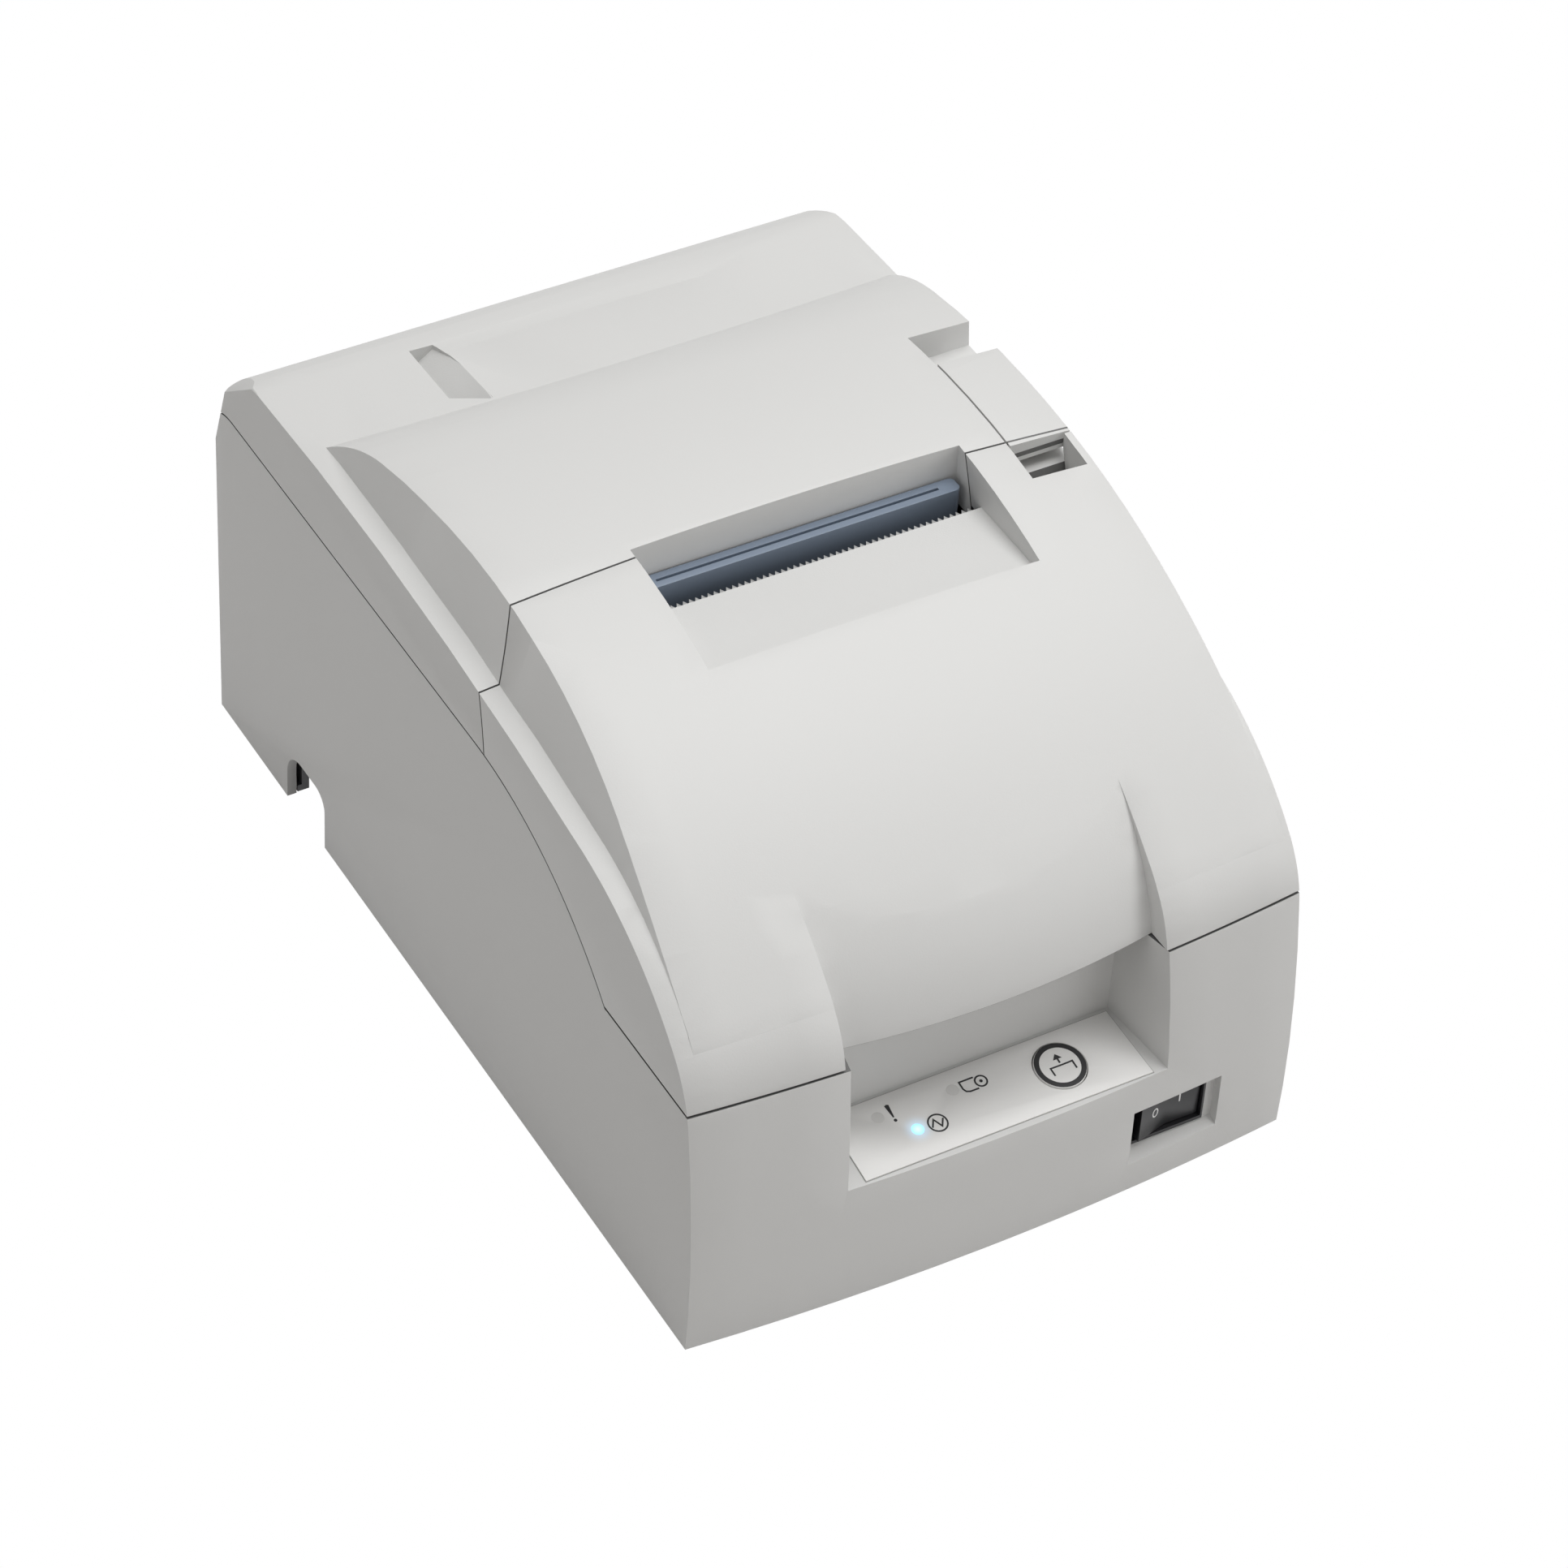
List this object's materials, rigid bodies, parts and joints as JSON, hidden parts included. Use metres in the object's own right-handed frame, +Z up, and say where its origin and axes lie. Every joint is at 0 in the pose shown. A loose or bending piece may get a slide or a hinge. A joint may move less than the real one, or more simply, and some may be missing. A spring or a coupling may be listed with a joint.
{
  "type": "dot matrix receipt printer",
  "caption": "Impact receipt printer with hinged front and rear covers, paper slot with tear bar, sloped control panel, carriage and print head, roll tray",
  "frame": {"origin": "on the floor under the middle of the case's bounding box", "axes": "+X to the right seen from the front, the front faces -Y, +Z up"},
  "size_m": [0.16, 0.248, 0.1386],
  "materials": {
    "case_plastic": "fine spark texture, warm light grey",
    "dark_plastic": "moulded, satin",
    "guide_plastic": "blue grey, smooth",
    "gloss_black": "polished",
    "light_plastic": "natural acetal",
    "label_sheet": "printed sheet with a satin face",
    "led_clear": "clear light pipe",
    "led_blue": "lit light pipe",
    "sheet_steel": "zinc plated sheet",
    "bright_steel": "ground",
    "rubber": "matt",
    "board_green": "solder mask",
    "brass": "turned",
    "aluminium": "die cast",
    "ribbon_fabric": "inked nylon"
  },
  "bodies": {
    "case": {"body_shell": "case_plastic", "base_plate": "dark_plastic", "rubber_feet": "rubber", "base_screws": "sheet_steel", "front_hinge_pins": "bright_steel", "rear_hinge_pins": "bright_steel", "paper_guide": "guide_plastic", "panel_label": "label_sheet", "tact_switch": "dark_plastic", "panel_board": "board_green", "error_led": "led_clear", "paper_led": "led_clear", "power_led": "led_blue", "switch_housing": "gloss_black", "main_board": "board_green", "board_standoffs": "brass", "interface_socket": "sheet_steel", "power_socket": "dark_plastic", "drawer_socket": "dark_plastic", "chips": "gloss_black", "capacitors": "aluminium", "chassis": "sheet_steel", "chassis_screws": "sheet_steel", "carriage_shaft": "bright_steel", "guide_rail": "sheet_steel", "timing_belt": "rubber", "idler_post": "bright_steel", "carriage_motor": "sheet_steel", "platen": "sheet_steel", "pinch_shaft": "bright_steel", "roller_bushes": "light_plastic", "gear_stud": "bright_steel", "feed_motor": "sheet_steel", "ribbon_cassette": "dark_plastic", "ribbon_band": "ribbon_fabric", "roll_tray": "dark_plastic", "near_end_pin": "bright_steel"},
    "front_cover": {"front_cover": "case_plastic", "tear_bar": "sheet_steel"},
    "rear_cover": {"rear_cover": "case_plastic", "lever_pin": "bright_steel", "lever_spring": "bright_steel"},
    "open_lever": {"open_lever": "case_plastic"},
    "feed_button": {"feed_button": "label_sheet"},
    "power_rocker": {"power_rocker": "gloss_black"},
    "carriage": {"carriage": "dark_plastic", "print_head": "aluminium"},
    "drive_pulley": {"drive_pulley": "brass"},
    "idler_pulley": {"idler_pulley": "light_plastic"},
    "feed_roller": {"feed_roller": "rubber", "feed_gear": "light_plastic"},
    "pinch_roller": {"pinch_roller": "rubber"},
    "middle_gear": {"middle_gear": "light_plastic"},
    "motor_pinion": {"motor_pinion": "brass"},
    "ribbon_knob": {"ribbon_knob": "light_plastic"},
    "near_end_lever": {"near_end_lever": "light_plastic"}
  },
  "joints": [
    {"name": "front_cover_hinge", "type": "hinge", "parent": "case", "child": "front_cover", "pos_m": [0, -0.1125, 0.05], "axis": [1, 0, 0], "range_deg": [0, 90]},
    {"name": "rear_cover_hinge", "type": "hinge", "parent": "case", "child": "rear_cover", "pos_m": [0, 0.1144, 0.0861], "axis": [-1, 0, 0], "range_deg": [0, 90]},
    {"name": "open_lever_hinge", "type": "hinge", "parent": "rear_cover", "child": "open_lever", "pos_m": [0.069, 0.0195, 0.1311], "axis": [-1, 0, 0], "range_deg": [0, 28], "stiffness_Nm_per_rad": 0.02},
    {"name": "feed_button_press", "type": "slide", "parent": "case", "child": "feed_button", "axis": [0, 0.1736, -0.9848], "range_m": [0, 0.0008], "stiffness_N_per_m": 800},
    {"name": "power_rocker_tilt", "type": "hinge", "parent": "case", "child": "power_rocker", "pos_m": [0.047, -0.11462, 0.022], "axis": [0, 0, -1], "range_deg": [0, 14]},
    {"name": "carriage_slide", "type": "slide", "parent": "case", "child": "carriage", "axis": [1, 0, 0], "range_m": [-0.033, 0.033]},
    {"name": "drive_pulley_turn", "type": "hinge", "parent": "case", "child": "drive_pulley", "pos_m": [-0.045, -0.058, 0.063], "axis": [0, 0, 1], "continuous": true},
    {"name": "idler_pulley_turn", "type": "hinge", "parent": "case", "child": "idler_pulley", "pos_m": [0.055, -0.058, 0.063], "axis": [0, 0, 1], "continuous": true},
    {"name": "feed_roller_turn", "type": "hinge", "parent": "case", "child": "feed_roller", "pos_m": [0.006, -0.00585, 0.076], "axis": [1, 0, 0], "continuous": true},
    {"name": "pinch_roller_turn", "type": "hinge", "parent": "case", "child": "pinch_roller", "pos_m": [0.006, -0.01615, 0.076], "axis": [1, 0, 0], "continuous": true},
    {"name": "middle_gear_turn", "type": "hinge", "parent": "case", "child": "middle_gear", "pos_m": [0.0687, -0.0178, 0.05611], "axis": [1, 0, 0], "continuous": true},
    {"name": "motor_pinion_turn", "type": "hinge", "parent": "case", "child": "motor_pinion", "pos_m": [0.0687, -0.0178, 0.04011], "axis": [1, 0, 0], "continuous": true},
    {"name": "ribbon_knob_turn", "type": "hinge", "parent": "case", "child": "ribbon_knob", "pos_m": [-0.05, -0.066, 0.1], "axis": [0, 0, 1], "continuous": true},
    {"name": "near_end_lever_hinge", "type": "hinge", "parent": "case", "child": "near_end_lever", "pos_m": [0.0515, 0.081, 0.05], "axis": [1, 0, 0], "range_deg": [0, 14], "stiffness_Nm_per_rad": 0.001}
  ],
  "couplings": [
    {"joint": "drive_pulley_turn", "follows": "carriage_slide", "rad_per_m": -166.67},
    {"joint": "idler_pulley_turn", "follows": "carriage_slide", "rad_per_m": -166.67},
    {"joint": "pinch_roller_turn", "follows": "feed_roller_turn", "ratio": -1.5},
    {"joint": "middle_gear_turn", "follows": "feed_roller_turn", "ratio": -1.0714},
    {"joint": "motor_pinion_turn", "follows": "feed_roller_turn", "ratio": 2.5}
  ]
}
